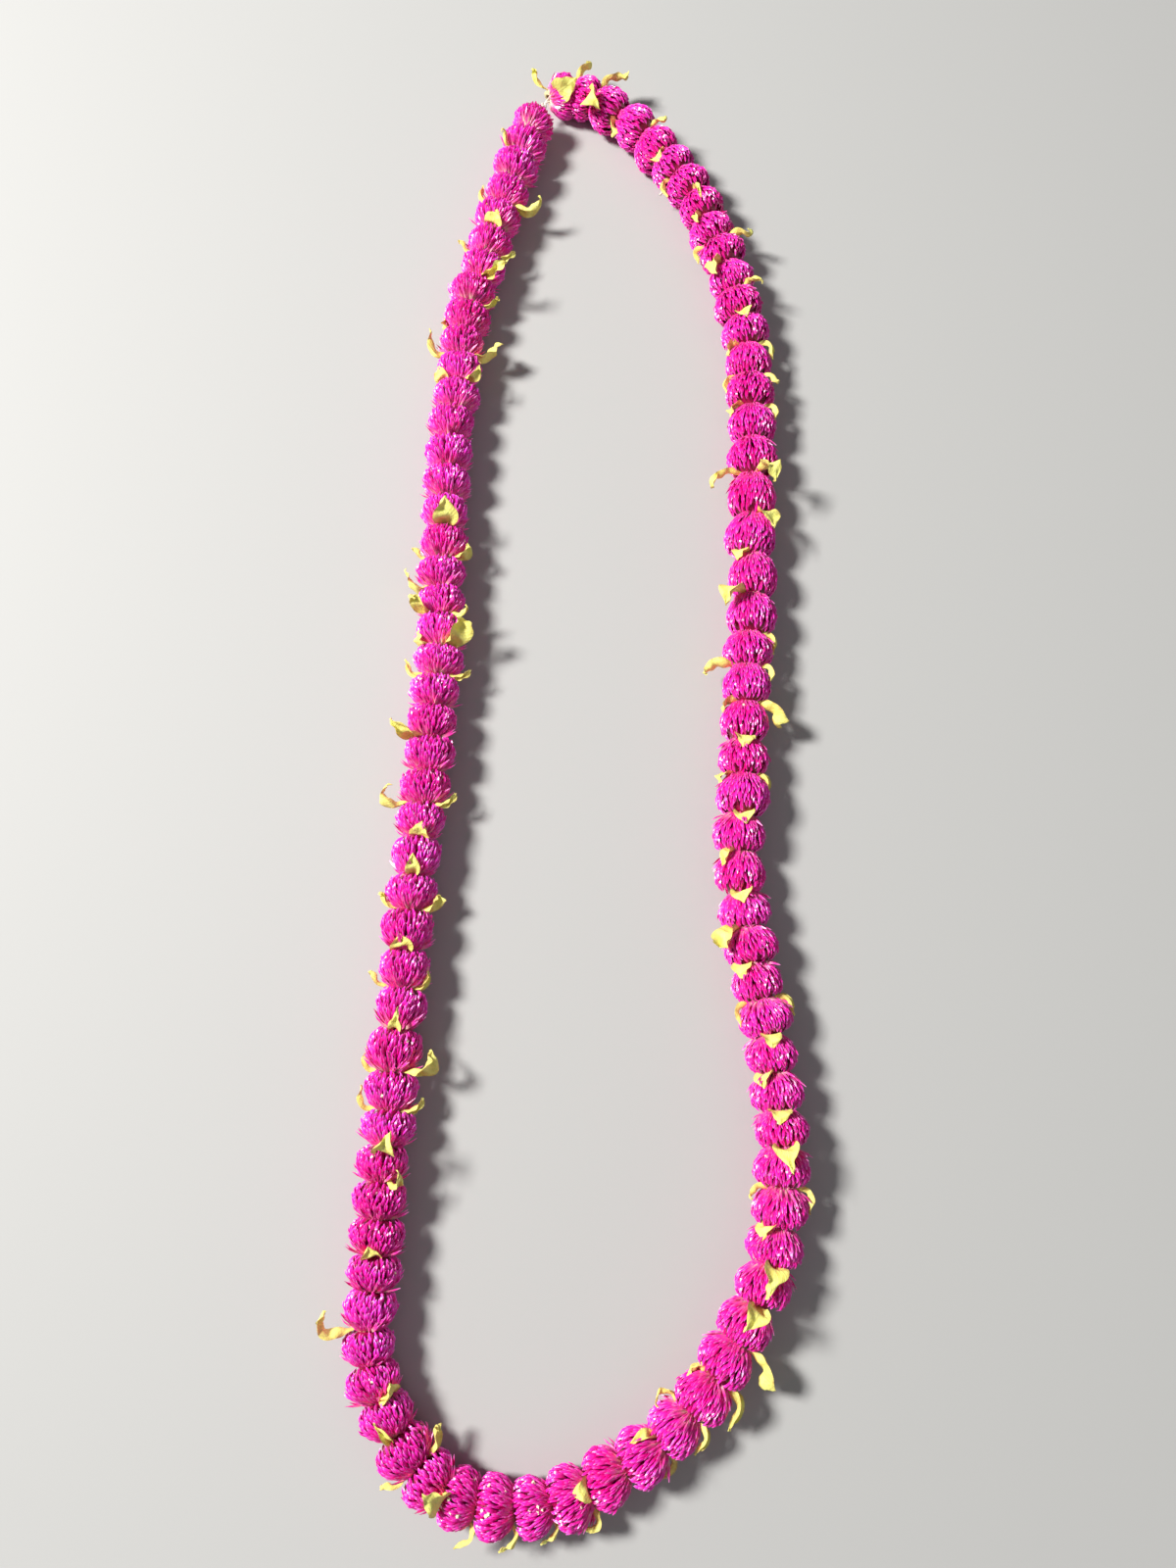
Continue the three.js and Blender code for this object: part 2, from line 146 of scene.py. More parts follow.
# Inside the flowers the thread is one plain yarn. Its plies are made for this far either way
# of the joint, where it shows, and they overlap the plain yarn a little.
JOINT_HALF = 12.0
CORE_OVERLAP = 1.0
CORE_POINTS = 400
THREAD_RADIUS = 0.4
KNOT_RADIUS = 0.36
CUT_END_RADIUS = 0.34
LOOSE_END_RADIUS = 0.44
PLIES = 3
PLY_RADIUS = 0.24
PLY_TWIST = 2.2
POINTS_PER_TWIST = 12
joint = (bases[HEADS] + bases[0] + loop_length) / 2
hidden = np.linspace(joint + JOINT_HALF - loop_length - CORE_OVERLAP,
                     joint - JOINT_HALF + CORE_OVERLAP, CORE_POINTS)
yarns = [draw_yarn(
    "thread_core", [on_thread(along).translation for along in hidden], THREAD_RADIUS)]
for ply in range(PLIES):
    helix = []
    for along in np.arange(joint - JOINT_HALF, joint + JOINT_HALF, PLY_TWIST / POINTS_PER_TWIST):
        angle = 2 * math.pi * (along / PLY_TWIST + ply / PLIES)
        helix.append(on_thread(along) @ Vector((
            0, PLY_RADIUS * MM * math.cos(angle), PLY_RADIUS * MM * math.sin(angle))))
    yarns.append(draw_yarn("thread_ply", helix, PLY_RADIUS))

# The knot is an overhand one, drawn small, and its two cut ends lie beside it. Each end is
# given by how far it reaches in mm: along the thread, inward and up.
KNOT_SIZE = 0.36
KNOT_POINTS = 48
CUT_ENDS = ((4.5, 2.2, -1.0), (-4.0, -2.0, 1.2))
knot_place = on_thread(joint)
knot = [knot_place @ (KNOT_SIZE * MM * Vector((
    math.sin(a) + 2 * math.sin(2 * a), math.cos(a) - 2 * math.cos(2 * a), -2 * math.sin(3 * a))))
    for a in np.linspace(0, 2 * math.pi, KNOT_POINTS, endpoint=False)]
yarns.append(draw_yarn("thread_knot", knot, KNOT_RADIUS, sides=2, closed=True))
for along, inward, upward in CUT_ENDS:
    yarns.append(draw_yarn("thread_end", [
        knot_place @ (MM * Vector((along * s, -inward * s * s, upward * s + 0.6 * math.sin(3 * s))))
        for s in np.linspace(0, 1, num=9)], CUT_END_RADIUS, sides=2))
# A second loose end sticks out between the sixth and the seventh flower.
LOOSE_AFTER_HEAD = 6
yarns.append(draw_yarn("thread_loose_end", [
    on_thread(bases[LOOSE_AFTER_HEAD]) @ (MM * Vector((3.2 * s, -11.5 * s, 1.5 * s - 3 * s * s)))
    for s in np.linspace(0, 1, num=12)], LOOSE_END_RADIUS, sides=2))
thread = join_pieces("thread", yarns)
bpy.ops.object.shade_smooth_by_angle(angle=math.radians(50))


def new_material(name):
    """A new material, its node tree and its shader."""
    made = bpy.data.materials.new(name)
    made.use_nodes = True
    return made, made.node_tree, made.node_tree.nodes["Principled BSDF"]


def give(tree, value, socket):
    """Gives a socket a plain value, or wires another node's output to it."""
    if isinstance(value, bpy.types.NodeSocket):
        tree.links.new(value, socket)
    else:
        socket.default_value = value


def add_node(tree, kind, settings=(), **inputs):
    """Adds a node. Each input is named as on the node, with _ for a space."""
    made = tree.nodes.new(kind)
    for key, value in dict(settings).items():
        setattr(made, key, value)
    for key, value in inputs.items():
        give(tree, value, made.inputs[key.replace("_", " ")])
    return made


def add_ramp(tree, factor, stops):
    """A ramp of colours, each given as (position, (red, green, blue))."""
    ramp = add_node(tree, "ShaderNodeValToRGB", Fac=factor)
    elements = ramp.color_ramp.elements
    while len(elements) < len(stops):
        elements.new(0.5)
    for element, (position, colour) in zip(elements, stops):
        element.position = position
        element.color = (*colour, 1)
    return ramp.outputs["Color"]


def finish_surface(tree, shader, colour, roughness, relief=None, strength=0.6, depth=0.1):
    """Sets a material's colour and roughness, and its relief, whose depth is in mm."""
    give(tree, colour, shader.inputs["Base Color"])
    give(tree, roughness, shader.inputs["Roughness"])
    if relief:
        bump = add_node(tree, "ShaderNodeBump", Height=relief, Strength=strength,
                        Distance=depth * MM)
        give(tree, bump.outputs["Normal"], shader.inputs["Normal"])


# Cotton: off-white, with lint along the plies that scatters the light.
cotton, tree, shader = new_material("cotton")
lint = add_node(tree, "ShaderNodeTexNoise", Scale=2500.0, Detail=4.0,
                Vector=add_node(tree, "ShaderNodeTexCoord").outputs["Object"]).outputs["Fac"]
colour = add_ramp(tree, lint, [(0.3, (0.62, 0.57, 0.47)), (0.65, (0.93, 0.91, 0.84))])
finish_surface(tree, shader, colour, 0.85, lint)
thread.data.materials.append(cotton)
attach(thread, "root")
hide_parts("cotton_thread")

# ---- Flower heads ------------------------------------------------------------------------
# Each globe amaranth head is a dome of some four hundred stiff papery bracts, keeled like
# little boats and folded over each other from the stalk to the tip. They grow from the head's
# heart, cream at the root and magenta outside, and are threaded on head to tail.

BRACT_LENGTH = 5.2
BRACT_HALF_WIDTH = 0.58
BRACT_KEEL = 0.56
BRACT_HOLLOW = 0.38
# The bract's rings from root to tip: its width and keel as shares, and how far it arches in mm.
BRACT_RINGS = [
    (0.5, 0.6, 0.0), (0.85, 0.9, 0.34), (1.0, 1.1, 0.52), (0.84, 1.0, 0.42), (0.1, 0.25, 0.0)]


def choose(piece, wanted):
    """Selects the points of a piece being edited that a test on their place says yes to."""
    points = bmesh.from_edit_mesh(piece.data)
    for point in points.verts:
        point.select_set(bool(wanted(point.co)))
    points.select_flush(True)
    bmesh.update_edit_mesh(piece.data)


def cut_rings(piece, rings, side_length):
    """Cuts the upright sides of a piece being edited, so that it has a number of rings."""
    bpy.ops.mesh.select_mode(type="EDGE")
    bpy.ops.mesh.select_all(action="DESELECT")
    sides = bmesh.from_edit_mesh(piece.data)
    for edge in sides.edges:
        edge.select_set(abs(edge.verts[0].co.z - edge.verts[1].co.z) > 0.5 * side_length)
    bmesh.update_edit_mesh(piece.data)
    bpy.ops.mesh.subdivide(number_cuts=rings - 2)
    bpy.ops.mesh.select_mode(type="VERT")


def set_amounts(part, **amounts):
    """Gives every point of a part the same amount of each attribute that is named."""
    for attribute, amount in amounts.items():
        layer = part.data.attributes.get(attribute)
        layer = layer or part.data.attributes.new(attribute, "FLOAT", "POINT")
        for point in layer.data:
            point.value = amount


def model_bract(name, width, hook):
    """A bract that stands along +Z from its root, with its keel towards +Y."""
    bpy.ops.object.select_all(action="DESELECT")
    bpy.ops.mesh.primitive_cone_add(
        vertices=4, radius1=MM, radius2=MM, depth=BRACT_LENGTH * MM,
        location=(0, 0, BRACT_LENGTH * MM / 2))
    bract = bpy.context.object
    bract.name = name
    bpy.ops.object.transform_apply(location=True)
    bpy.ops.object.mode_set(mode="EDIT")
    cut_rings(bract, len(BRACT_RINGS), BRACT_LENGTH * MM)
    spacing = BRACT_LENGTH * MM / (len(BRACT_RINGS) - 1)
    for ring, (wide, keel, arch) in enumerate(BRACT_RINGS):
        height = ring * spacing
        choose(bract, lambda spot: abs(spot.z - height) < spacing / 3)
        bpy.ops.transform.resize(
            value=(wide * BRACT_HALF_WIDTH * width, keel * BRACT_KEEL, 1),
            center_override=(0, 0, height))
        choose(bract, lambda spot: abs(spot.z - height) < spacing / 3 and spot.y < -1e-6)
        bpy.ops.transform.translate(value=(0, keel * (BRACT_KEEL + BRACT_HOLLOW) * MM, 0))
        choose(bract, lambda spot: abs(spot.z - height) < spacing / 3)
        hooked = hook * (ring / (len(BRACT_RINGS) - 1)) ** 3
        bpy.ops.transform.translate(value=(0, (arch + hooked) * MM, 0))
    bpy.ops.mesh.select_all(action="SELECT")
    bpy.ops.mesh.normals_make_consistent(inside=False)
    bpy.ops.object.mode_set(mode="OBJECT")
    bpy.ops.object.shade_smooth_by_angle(angle=math.radians(38))
    # The material reads three amounts at each point: how far along its bract it is (tipward),
    # how pale that bract is (lot), and how cream (cream).
    tipward = bract.data.attributes.new("tipward", "FLOAT", "POINT")
    for point, value in zip(bract.data.vertices, tipward.data):
        value.value = point.co.z / (BRACT_LENGTH * MM)
    set_amounts(bract, lot=0.0, cream=0.0)
    return bract


# Three forms of bract, and how often each grows.
bracts = [model_bract("bract_plain", 1.0, 0.0), model_bract("bract_lifted", 0.86, 0.45),
          model_bract("bract_hooked", 0.94, -0.3)]
BRACT_ODDS = (0.45, 0.35, 0.2)

# The head's outline from the neck to the tip, as (share of its length, radius in mm).
HEAD_LENGTH = 14.0
OUTLINE = [(0.0, 2.2), (0.07, 3.6), (0.16, 5.6), (0.28, 7.2), (0.42, 8.3), (0.58, 8.7),
           (0.72, 8.7), (0.84, 8.3), (0.93, 7.6), (1.02, 6.4), (1.1, 4.2)]
# The bracts' tips reach from the first share to the last, each a golden angle round from the
# one before it, as seeds sit in a sunflower.
BRACTS = 430
TIPS_FROM, TIPS_TO = 0.13, 1.09
GOLDEN_ANGLE = math.pi * (3 - math.sqrt(5))
# How far back from its tip a bract is rooted, as a share, and how deep in mm, low and high on
# the head. No root is nearer than this to the head's base, as a share, or to its middle.
ROOT_BACK = (0.36, 0.26)
ROOT_UNDER = (1.35, 0.95)
ROOT_SHARE_LEAST = 0.02
ROOT_RADIUS_LEAST = 1.6
# A bract's keel faces outwards and this much towards the base.
KEEL_BACK = 0.3
# How unevenly the bracts are set: their angles in radians, with what a loose head adds at the
# tips, their places as shares of the head, how far back they are rooted, how far their tips
# stand off the outline in mm, and their widths.
ANGLE_SPREAD = 0.04
LOOSE_SPREAD = 0.05
SHARE_SPREAD = 0.015
ROOTED = (0.9, 1.1)
STANDS_OFF = (0.2, 0.22)
WIDTHS = (0.8, 1.15)
# The lowest bracts are cream: wholly up to the first share of the head, not at all past the
# second.
CREAM_FADES = (0.26, 0.5)
# The heart is this much smaller than the outline, and nowhere narrower than the least, in mm.
HEART_UNDER = 2.0
HEART_LEAST = 1.2
# Finished rings wait this far up, in metres, out of the way of the next ones.
OUT_OF_THE_WAY = 0.1


def outline_radius(share):
    """How wide a head is at a share of its length, in mm."""
    return float(np.interp(share, *zip(*OUTLINE)))


def in_head(share, radius, angle):
    """A place in a head in mm, from a share of its length, a radius and an angle round it."""
    return Vector((share * HEAD_LENGTH, radius * math.cos(angle), radius * math.sin(angle)))


def stand(root, tip, outward, width):
    """The place of a bract that reaches from root to tip with its keel outward, in mm."""
    reach = tip - root
    up = reach.normalized()
    side = Vector(outward).cross(up).normalized()
    keel = up.cross(side)
    turn = Matrix((side * width, keel, up * reach.length / BRACT_LENGTH)).transposed().to_4x4()
    return Matrix.Translation(root * MM) @ turn


def copy_of(pattern, place):
    """A copy with its own mesh, put in its place."""
    part = pattern.copy()
    part.data = pattern.data.copy()
    bpy.context.scene.collection.objects.link(part)
    part.matrix_world = place
    return part


def model_heart():
    """The fleshy heart that the bracts grow from, along +X, just under their outline."""
    bpy.ops.object.select_all(action="DESELECT")
    bpy.ops.mesh.primitive_cylinder_add(
        vertices=12, radius=MM, depth=HEAD_LENGTH * MM, location=(0, 0, HEAD_LENGTH * MM / 2))
    heart = bpy.context.object
    bpy.ops.object.transform_apply(location=True)
    bpy.ops.object.mode_set(mode="EDIT")
    cut_rings(heart, len(OUTLINE), HEAD_LENGTH * MM)
    spacing = HEAD_LENGTH * MM / (len(OUTLINE) - 1)
    for ring in range(len(OUTLINE) - 1, -1, -1):
        share, radius = OUTLINE[ring]
        radius = max(radius - HEART_UNDER, HEART_LEAST)
        choose(heart, lambda spot: abs(spot.z - ring * spacing) < 0.1 * MM)
        bpy.ops.transform.resize(value=(radius, radius, 1), center_override=(0, 0, 0))
        bpy.ops.transform.translate(
            value=(0, 0, share * HEAD_LENGTH * MM - ring * spacing + OUT_OF_THE_WAY))
    bpy.ops.mesh.select_all(action="SELECT")
    bpy.ops.transform.translate(value=(0, 0, -OUT_OF_THE_WAY))
    bpy.ops.object.mode_set(mode="OBJECT")
    heart.matrix_world = Matrix.Rotation(math.pi / 2, 4, "Y")
    # Its colour is the bracts' darkest root colour, a painted shade deep inside the head.
    set_amounts(heart, tipward=0.05, lot=-1.0, cream=0.0)
    return heart


# A floret's arms, the radius and the length of its tube and how deep the tube's middle lies,
# in mm, and how much its mouth and then its arms widen.
FLORET_ARMS = 5
FLORET_RADIUS = 0.28
FLORET_LENGTH = 2.6
FLORET_DEPTH = 0.5
MOUTH_FLARE = 1.7
ARM_FLARE = 1.45


def model_floret():
    """One of the tiny flowers that open between the bracts: a tube with a mouth like a star."""
    bpy.ops.object.select_all(action="DESELECT")
    bpy.ops.mesh.primitive_cylinder_add(
        vertices=2 * FLORET_ARMS, radius=FLORET_RADIUS * MM, depth=FLORET_LENGTH * MM,
        location=(0, 0, -FLORET_DEPTH * MM))
    floret = bpy.context.object
    bpy.ops.object.transform_apply(location=True)
    bpy.ops.object.mode_set(mode="EDIT")
    bpy.ops.mesh.select_mode(type="VERT")
    choose(floret, lambda spot: spot.z > 0)
    bpy.ops.mesh.extrude_region_move(TRANSFORM_OT_translate={"value": (0, 0, 0.25 * MM)})
    bpy.ops.transform.resize(value=(MOUTH_FLARE, MOUTH_FLARE, 1), center_override=(0, 0, 0))
    bpy.ops.mesh.inset(thickness=0.12 * MM)
    bpy.ops.transform.translate(value=(0, 0, -0.3 * MM))
    # Every other point of the rim is drawn out, as one of the star's arms.
    choose(floret, lambda spot: math.hypot(spot.x, spot.y) > 0.4 * MM
           and math.sin(FLORET_ARMS * math.atan2(spot.y, spot.x)) > 0)
    bpy.ops.transform.resize(value=(ARM_FLARE, ARM_FLARE, 1), center_override=(0, 0, 0))
    bpy.ops.object.mode_set(mode="OBJECT")
    set_amounts(floret, tipward=0.0, lot=1.0, cream=1.0)
    return floret


heart = model_heart()
floret = model_floret()

# This share of a loose head's bracts strays outwards, by this much in mm.
STRAYING = 0.4
STRAY_SPREAD = 0.55
# Its lowest bracts, which are longer, broader and paler, have come away in bunches. Angles
# are in radians, and places are shares of the head's length and radii in mm.
BUNCHES = 3
BRACTS_IN_BUNCH = 5
BUNCH_STEP = 0.2
BUNCH_SPREAD = 0.06
BUNCH_WIDTH = 1.2
BUNCH_LOTS = (1.2, 1.8)
BUNCH_ROOT = (0.03, 2.2)
BUNCH_TIP_SHARES = (0.26, 0.52)
BUNCH_TIP_RADII = (9.6, 10.2)
# Where on a head its florets open, as shares, how far they are sunk in mm, and how far they
# lean forward.
FLORET_SHARES = (0.25, 0.95)
FLORET_SUNK = 0.4
FLORET_FORWARD = 0.35


def gather_head(name, seed, loose, florets):
    """A head of bracts along +X, from its base at 0. A loose one has bracts that stand out."""
    draw = np.random.default_rng(seed)
    parts = [copy_of(heart, heart.matrix_world)]

    def set_bract(angle, root, tip, width, lot, cream, lean):
        """Sets a bract at an angle. Its root and its tip are each a share and a radius."""
        tip_angle = angle + draw.normal(0, ANGLE_SPREAD + LOOSE_SPREAD * loose)
        turned = angle + draw.normal(0, lean)
        pattern = bracts[draw.choice(len(bracts), p=BRACT_ODDS)]
        part = copy_of(pattern, stand(in_head(*root, angle), in_head(*tip, tip_angle),
                                      (-KEEL_BACK, math.cos(turned), math.sin(turned)), width))
        set_amounts(part, lot=lot, cream=cream)
        parts.append(part)

    # The bracts are spread evenly over the outline, so there are more where it is wider.
    shares = np.linspace(TIPS_FROM, TIPS_TO, num=60)
    covered = np.cumsum([outline_radius(share) for share in shares])
    covered = (covered - covered[0]) / (covered[-1] - covered[0])
    for place in range(BRACTS):
        reach = float(np.interp((place + 0.5) / BRACTS, covered, shares))
        angle = GOLDEN_ANGLE * place + draw.normal(0, ANGLE_SPREAD)
        stray = loose * abs(draw.normal(0, STRAY_SPREAD)) if draw.random() < STRAYING else 0
        tip_at = reach + draw.normal(0, SHARE_SPREAD)
        back = np.interp(reach, (0, 1), ROOT_BACK) * draw.uniform(*ROOTED)
        root_at = max(tip_at - back, ROOT_SHARE_LEAST)
        root_radius = outline_radius(root_at) - np.interp(reach, (0, 1), ROOT_UNDER)
        tip_radius = outline_radius(tip_at) + draw.normal(*STANDS_OFF) + stray
        set_bract(angle, (root_at, max(root_radius, ROOT_RADIUS_LEAST)), (tip_at, tip_radius),
                  width=draw.uniform(*WIDTHS), lot=draw.random(),
                  cream=float(np.interp(reach, CREAM_FADES, (1, 0))), lean=0.3)
    for bunch in range(round(BUNCHES * loose)):
        middle = draw.uniform(0, 2 * math.pi)
        for place in range(BRACTS_IN_BUNCH):
            angle = middle + BUNCH_STEP * (place - BRACTS_IN_BUNCH // 2)
            angle += draw.normal(0, BUNCH_SPREAD)
            least, most = BUNCH_TIP_RADII
            tip = (draw.uniform(*BUNCH_TIP_SHARES), draw.uniform(least, most + loose))
            set_bract(angle, BUNCH_ROOT, tip, width=BUNCH_WIDTH, lot=draw.uniform(*BUNCH_LOTS),
                      cream=1.0, lean=0.5)
    for opened in range(florets):
        angle = draw.uniform(0, 2 * math.pi)
        share = draw.uniform(*FLORET_SHARES)
        outward = Vector((FLORET_FORWARD, math.cos(angle), math.sin(angle)))
        spot = in_head(share, outline_radius(share) - FLORET_SUNK, angle)
        parts.append(copy_of(floret, Matrix.Translation(MM * spot)
                             @ outward.to_track_quat("Z", "X").to_matrix().to_4x4()))
    return join_pieces(name, parts)


# From the tightest head to the loosest, with how many florets have opened on each, and one
# more that is in full flower.
HEAD_KINDS = ((0.1, 0), (0.3, 1), (0.5, 0), (0.7, 2), (0.95, 1), (1.2, 2), (0.2, 13))
FIRST_SEED = 11
patterns = [gather_head(f"head_pattern_{kind}", FIRST_SEED + kind, loose, florets)
            for kind, (loose, florets) in enumerate(HEAD_KINDS)]
IN_FULL_FLOWER = (46, 47, 48)

# Plants are unevenly coloured: this group makes irregular patches, as a mask from 0 to 1.
mottle = bpy.data.node_groups.new("plant_mottle", "ShaderNodeTree")
mottle.interface.new_socket(name="Size", in_out="INPUT", socket_type="NodeSocketFloat")
mottle.interface.new_socket(name="Contrast", in_out="INPUT", socket_type="NodeSocketFloat")
mottle.interface.new_socket(name="Mask", in_out="OUTPUT", socket_type="NodeSocketFloat")


def add_math(tree, operation, *values, clamp=False):
    """The result of an operation on one to three values, each a number or a node's output."""
    made = add_node(tree, "ShaderNodeMath", {"operation": operation, "use_clamp": clamp})
    for value, socket in zip(values, made.inputs):
        give(tree, value, socket)
    return made.outputs["Value"]


given = mottle.nodes.new("NodeGroupInput")
spots = add_node(
    mottle, "ShaderNodeTexNoise", Scale=given.outputs["Size"], Detail=3.0, Roughness=0.6,
    Vector=add_node(mottle, "ShaderNodeTexCoord").outputs["Object"]).outputs["Fac"]
centred = add_math(mottle, "SUBTRACT", spots, 0.5)
stronger = add_math(mottle, "MULTIPLY", centred, given.outputs["Contrast"])
add_node(mottle, "NodeGroupOutput", Mask=add_math(mottle, "ADD", stronger, 0.5, clamp=True))


def add_mottle(tree, size, contrast):
    """Irregular patches over a plant's surface, as a mask from 0 to 1."""
    patches = add_node(
        tree, "ShaderNodeGroup", {"node_tree": mottle}, Size=size, Contrast=contrast)
    return patches.outputs["Mask"]


def add_range(tree, value, old, new):
    """Brings a value from an old range to a new one, and holds it at their ends."""
    made = add_node(tree, "ShaderNodeMapRange", {"clamp": True})
    for number, socket in zip((value, *old, *new), made.inputs):
        give(tree, number, socket)
    return made.outputs["Result"]


def add_mix(tree, factor, first, second):
    """Mixes two colours, each (red, green, blue) or another node's output."""
    mix = add_node(tree, "ShaderNodeMix", {"data_type": "RGBA"})
    give(tree, factor, mix.inputs[0])
    for colour, socket in ((first, mix.inputs[6]), (second, mix.inputs[7])):
        give(tree, (*colour, 1) if isinstance(colour, tuple) else colour, socket)
    return mix.outputs[2]


def add_attribute(tree, name):
    """An attribute of the mesh, as a number."""
    return add_node(tree, "ShaderNodeAttribute", {"attribute_name": name}).outputs["Fac"]


# The bracts are papery and a little glossy, pink to magenta further out and paler at the tip,
# partly their own colour and partly a painted highlight, with no two quite alike. The lowest
# are cream at the root; the others are dark crimson there, a painted shade for the gaps
# between them. The heads on the left are paler and those on the right deeper.
petal, tree, shader = new_material("amaranth_bract")
tipward = add_attribute(tree, "tipward")
# Near the root both ramps are dark crimson, a painted shade. Their pale tips are partly the bracts'
# own colour and partly a painted highlight.
deep = add_ramp(tree, tipward, [
    (0.0, (0.26, 0.0, 0.05)), (0.29, (0.72, 0.001, 0.17)), (0.79, (0.98, 0.004, 0.36)),
    (1.0, (1.0, 0.09, 0.60))])
pale = add_ramp(tree, tipward, [
    (0.06, (0.46, 0.0, 0.15)), (0.36, (0.97, 0.010, 0.46)), (0.79, (1.0, 0.045, 0.72)),
    (1.0, (1.0, 0.42, 0.92))])
rooted = add_ramp(tree, tipward, [
    (0.0, (0.98, 0.90, 0.62)), (0.32, (0.98, 0.70, 0.58)), (0.56, (0.96, 0.16, 0.42)),
    (0.8, (0.97, 0.02, 0.42)), (1.0, (1.0, 0.30, 0.76))])
across = add_node(
    tree, "ShaderNodeSeparateXYZ",
    Vector=add_node(tree, "ShaderNodeTexCoord").outputs["Object"]).outputs["X"]
left = add_range(tree, across, (-0.05, 0.06), (0.75, 0.15))
patchy = add_math(tree, "MULTIPLY", left, add_mottle(tree, 28.0, 2.5))
how_pale = add_math(
    tree, "MULTIPLY_ADD", add_attribute(tree, "lot"), 0.55, patchy, clamp=True)
colour = add_mix(tree, add_attribute(tree, "cream"), add_mix(tree, how_pale, deep, pale), rooted)
gloss = add_range(tree, add_mottle(tree, 900.0, 2.0), (0.0, 1.0), (0.2, 0.36))
shader.inputs["Specular IOR Level"].default_value = 0.7
finish_surface(tree, shader, colour, gloss, add_mottle(tree, 3200.0, 2.0), 0.25, 0.08)
for pattern in patterns:
    pattern.data.materials.append(petal)

# How a head sits on the thread: how far it strays inward and up in mm, how far it leans and
# how far it is turned from the one before it in radians, and how its girth varies.
HEAD_INWARD, HEAD_UPWARD = 0.6, 0.4
HEAD_LEAN = 0.08
HEAD_TURN = 2.4
GIRTH_SWING = 0.05
DRAW_GIRTH, DRAW_INWARD, DRAW_UPWARD, DRAW_TILT_IN, DRAW_TILT_UP = 2, 3, 4, 5, 6
# The heads are counted from 0, and those past this one are a little smaller.
SMALLER_AFTER = 50
SMALLER = 0.95
# The last head has slid back from the knot and tipped over, with its base upwards.
LAST_SLIDE, LAST_RAISE, LAST_TIP = -0.6, 2.2, 0.36


def head_place(head):
    """Where a head sits: its base on the thread, leaning a little, as long as its share."""
    last = head == HEADS - 1
    length = bases[head + 1] - bases[head]
    start = on_thread(bases[head], HEAD_INWARD * swing(head, DRAW_INWARD),
                      HEAD_UPWARD * swing(head, DRAW_UPWARD))
    run = on_thread(bases[head + 1]).translation - start.translation
    heading = math.atan2(run.y, run.x) + HEAD_LEAN * swing(head, DRAW_TILT_IN)
    tilt = LAST_TIP if last else HEAD_LEAN * swing(head, DRAW_TILT_UP)
    if last:
        start = on_thread(bases[head] + LAST_SLIDE, 0, LAST_RAISE)
    size = 1 + GIRTH_SWING * swing(head, DRAW_GIRTH)
    size *= SMALLER if head > SMALLER_AFTER else 1
    return (Matrix.Translation(start.translation)
            @ Matrix.Rotation(heading, 4, "Z")
            @ Matrix.Rotation(tilt, 4, "Y")
            @ Matrix.Rotation(HEAD_TURN * head, 4, "X")
            @ Matrix.Diagonal((length / HEAD_LENGTH, size, size, 1)))


# What lies lower than this, in mm, is pressed to this share of its depth.
PRESSED_UNDER = 0.2
PRESSED_TO = 0.05


def press_on_surface(piece):
    """Presses the lowest points flat, where the piece lies on the surface."""
    bpy.ops.object.select_all(action="DESELECT")
    piece.select_set(True)
    bpy.context.view_layer.objects.active = piece
    bpy.ops.object.mode_set(mode="EDIT")
    bpy.ops.mesh.select_mode(type="VERT")
    choose(piece, lambda spot: spot.z < PRESSED_UNDER * MM)
    bpy.ops.transform.resize(value=(1, 1, PRESSED_TO), center_override=(0, 0, PRESSED_UNDER * MM))
    bpy.ops.object.mode_set(mode="OBJECT")


# The heads grow looser along the strand, from the first to be strung to the last, and vary in
# shade from one to the next.
LOOSENESS_AT = (0, 20, 30, 45, 52)
LOOSENESS = (0.17, 0.17, 0.5, 0.5, 0.82)
LOOSENESS_SWING = 0.17
SHADE_SWING = 0.3
DRAW_LOOSENESS, DRAW_SHADE = 21, 41
# A piece has four heads, as the solid that it replaces does, and the last piece has five.
HEADS_PER_GROUP = 4
GROUPS = sum(node.startswith("flower_heads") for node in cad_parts)
groups = [range(group * HEADS_PER_GROUP,
                HEADS if group == GROUPS - 1 else (group + 1) * HEADS_PER_GROUP)
          for group in range(GROUPS)]
*by_looseness, in_full_flower = patterns
for group, heads in enumerate(groups, 1):
    parts = []
    for head in heads:
        looseness = (np.interp(head, LOOSENESS_AT, LOOSENESS)
                     + LOOSENESS_SWING * swing(head, DRAW_LOOSENESS))
        pattern = by_looseness[int(len(by_looseness) * min(looseness, 0.99))]
        if head in IN_FULL_FLOWER:
            pattern = in_full_flower
        part = copy_of(pattern, head_place(head))
        lots = np.empty(len(part.data.vertices), np.float32)
        part.data.attributes["lot"].data.foreach_get("value", lots)
        lots += SHADE_SWING * swing(head, DRAW_SHADE)
        part.data.attributes["lot"].data.foreach_set("value", lots)
        parts.append(part)
    piece = join_pieces(f"amaranth_heads_{group:02d}", parts)
    press_on_surface(piece)
    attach(piece, "root")
    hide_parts(f"flower_heads_{group:02d}")
for spare in [*patterns, *bracts, heart, floret]:
    bpy.data.objects.remove(spare)

# ---- Leafy bracts ------------------------------------------------------------------------
# The flower grows with a pair of leafy bracts under its head, pale green when fresh and now
# yellow, curled and waved as they dry. They are left on a short length of stalk, through
# which the thread runs, and come out at the neck of their head.

